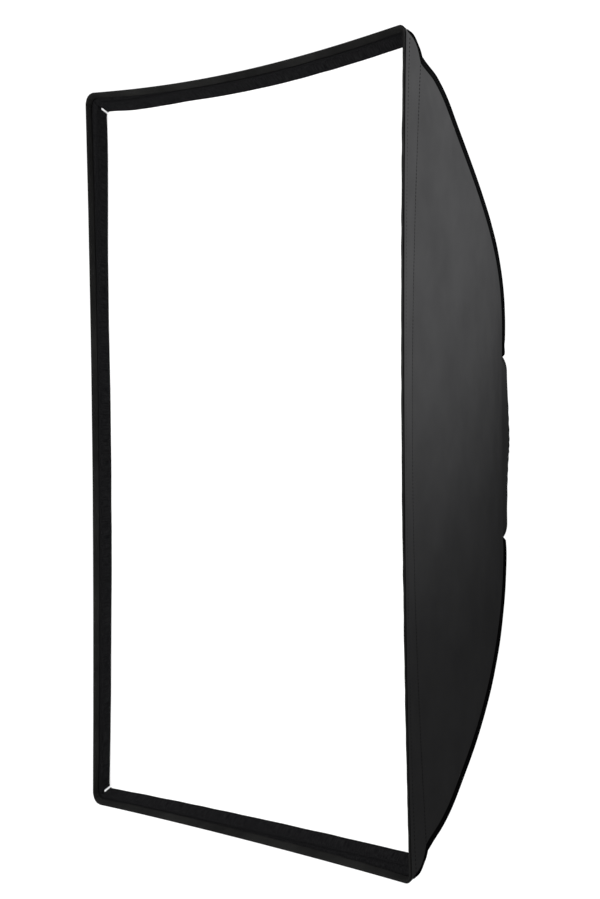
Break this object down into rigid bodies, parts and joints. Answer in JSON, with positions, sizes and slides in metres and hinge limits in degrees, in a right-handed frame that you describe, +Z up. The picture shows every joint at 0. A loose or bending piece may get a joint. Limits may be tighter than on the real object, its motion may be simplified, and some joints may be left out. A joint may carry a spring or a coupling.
{
  "type": "rectangular softbox",
  "caption": "Rectangular fabric softbox for a studio flash, stretched by sprung corner rods on a rotating bayonet ring, with inner baffle and removable front diffuser.",
  "frame": {"origin": "centre of the bayonet's seating face, on the axis of the light", "axes": "+Y back towards the light, the front opening faces -Y, +X to the right seen from the front, +Z up along the long side"},
  "size_m": [0.8, 0.5184, 1.2],
  "materials": {
    "black_nylon": "matte woven nylon, black outside and silver coated inside",
    "silver_lining": "silver coated reflective side of the panels",
    "seam_tape": "folded black woven tape, matte with a faint sheen",
    "touch_tape": "fuzzy black hook-and-loop tape",
    "diffuser_cloth": "translucent white woven cloth",
    "baffle_cloth": "thin translucent white cloth",
    "baffle_hem_tape": "white folded hem",
    "white_elastic": "white ribbed elastic",
    "black_elastic": "black ribbed elastic",
    "black_webbing": "black woven webbing",
    "ring_casting": "die cast, satin black paint",
    "insert_plate": "turned, satin",
    "lug_steel": "bright zinc plate",
    "bright_screws": "zinc plate",
    "dark_screws": "black oxide",
    "snap_metal": "nickel plated",
    "knob_plastic": "moulded, fluted grip",
    "rod_steel": "drawn spring steel",
    "ferrule_metal": "turned sleeve",
    "rod_tip_rubber": "moulded cap"
  },
  "bodies": {
    "light_mount": {"bayonet_insert": "insert_plate", "bayonet_lugs": "lug_steel"},
    "softbox": {"baffle_hem": "baffle_hem_tape", "baffle_snaps": "snap_metal", "baffle_straps": "white_elastic", "collar_elastic": "black_elastic", "corner_pocket_lower_left": "black_webbing", "corner_pocket_lower_right": "black_webbing", "corner_pocket_upper_left": "black_webbing", "corner_pocket_upper_right": "black_webbing", "hem_bottom": "seam_tape", "hem_left": "seam_tape", "hem_right": "seam_tape", "hem_top": "seam_tape", "inner_baffle": "baffle_cloth", "lip_bottom": "black_nylon", "lip_left": "black_nylon", "lip_loop_tapes": "touch_tape", "lip_right": "black_nylon", "lip_top": "black_nylon", "panel_bottom": "black_nylon", "panel_left": "black_nylon", "panel_right": "black_nylon", "panel_top": "black_nylon", "rear_collar": "black_nylon", "retaining_screws": "dark_screws", "rod_ferrule_lower_left": "ferrule_metal", "rod_ferrule_lower_right": "ferrule_metal", "rod_ferrule_upper_left": "ferrule_metal", "rod_ferrule_upper_right": "ferrule_metal", "rod_keeper_loops": "black_webbing", "rod_lower_left": "rod_steel", "rod_lower_right": "rod_steel", "rod_socket_lower_left": "ring_casting", "rod_socket_lower_right": "ring_casting", "rod_socket_upper_left": "ring_casting", "rod_socket_upper_right": "ring_casting", "rod_tip_lower_left": "rod_tip_rubber", "rod_tip_lower_right": "rod_tip_rubber", "rod_tip_upper_left": "rod_tip_rubber", "rod_tip_upper_right": "rod_tip_rubber", "rod_upper_left": "rod_steel", "rod_upper_right": "rod_steel", "seam_binding_lower_left": "seam_tape", "seam_binding_lower_right": "seam_tape", "seam_binding_upper_left": "seam_tape", "seam_binding_upper_right": "seam_tape", "socket_screws": "dark_screws", "speedring": "ring_casting"},
    "front_cloth": {"front_diffuser": "diffuser_cloth", "diffuser_tape_top": "touch_tape", "diffuser_tape_right": "touch_tape", "diffuser_tape_bottom": "touch_tape", "diffuser_tape_left": "touch_tape"},
    "lock_screw_top": {"lock_screw_top": "bright_screws"},
    "lock_knob_top": {"lock_knob_top": "knob_plastic"},
    "lock_screw_bottom": {"lock_screw_bottom": "bright_screws"},
    "lock_knob_bottom": {"lock_knob_bottom": "knob_plastic"}
  },
  "joints": [
    {"name": "box_rotation", "type": "hinge", "parent": "light_mount", "child": "softbox", "pos_m": [0, 0, 0], "axis": [0, 1, 0], "continuous": true},
    {"name": "diffuser_removal", "type": "slide", "parent": "softbox", "child": "front_cloth", "axis": [0, -1, 0], "range_m": [0, 0.15]},
    {"name": "lock_travel_top", "type": "slide", "parent": "softbox", "child": "lock_screw_top", "axis": [0, 0, 1], "range_m": [0, 0.004]},
    {"name": "lock_turn_top", "type": "hinge", "parent": "lock_screw_top", "child": "lock_knob_top", "pos_m": [0, -0.0045, 0.1], "axis": [0, 0, 1], "range_deg": [0, 1820]},
    {"name": "lock_travel_bottom", "type": "slide", "parent": "softbox", "child": "lock_screw_bottom", "axis": [0, 0, -1], "range_m": [0, 0.004]},
    {"name": "lock_turn_bottom", "type": "hinge", "parent": "lock_screw_bottom", "child": "lock_knob_bottom", "pos_m": [0, -0.0045, -0.1], "axis": [0, 0, -1], "range_deg": [0, 1820]}
  ],
  "couplings": [
    {"joint": "lock_turn_top", "follows": "lock_travel_top", "rad_per_m": 7854},
    {"joint": "lock_turn_bottom", "follows": "lock_travel_bottom", "rad_per_m": 7854}
  ]
}
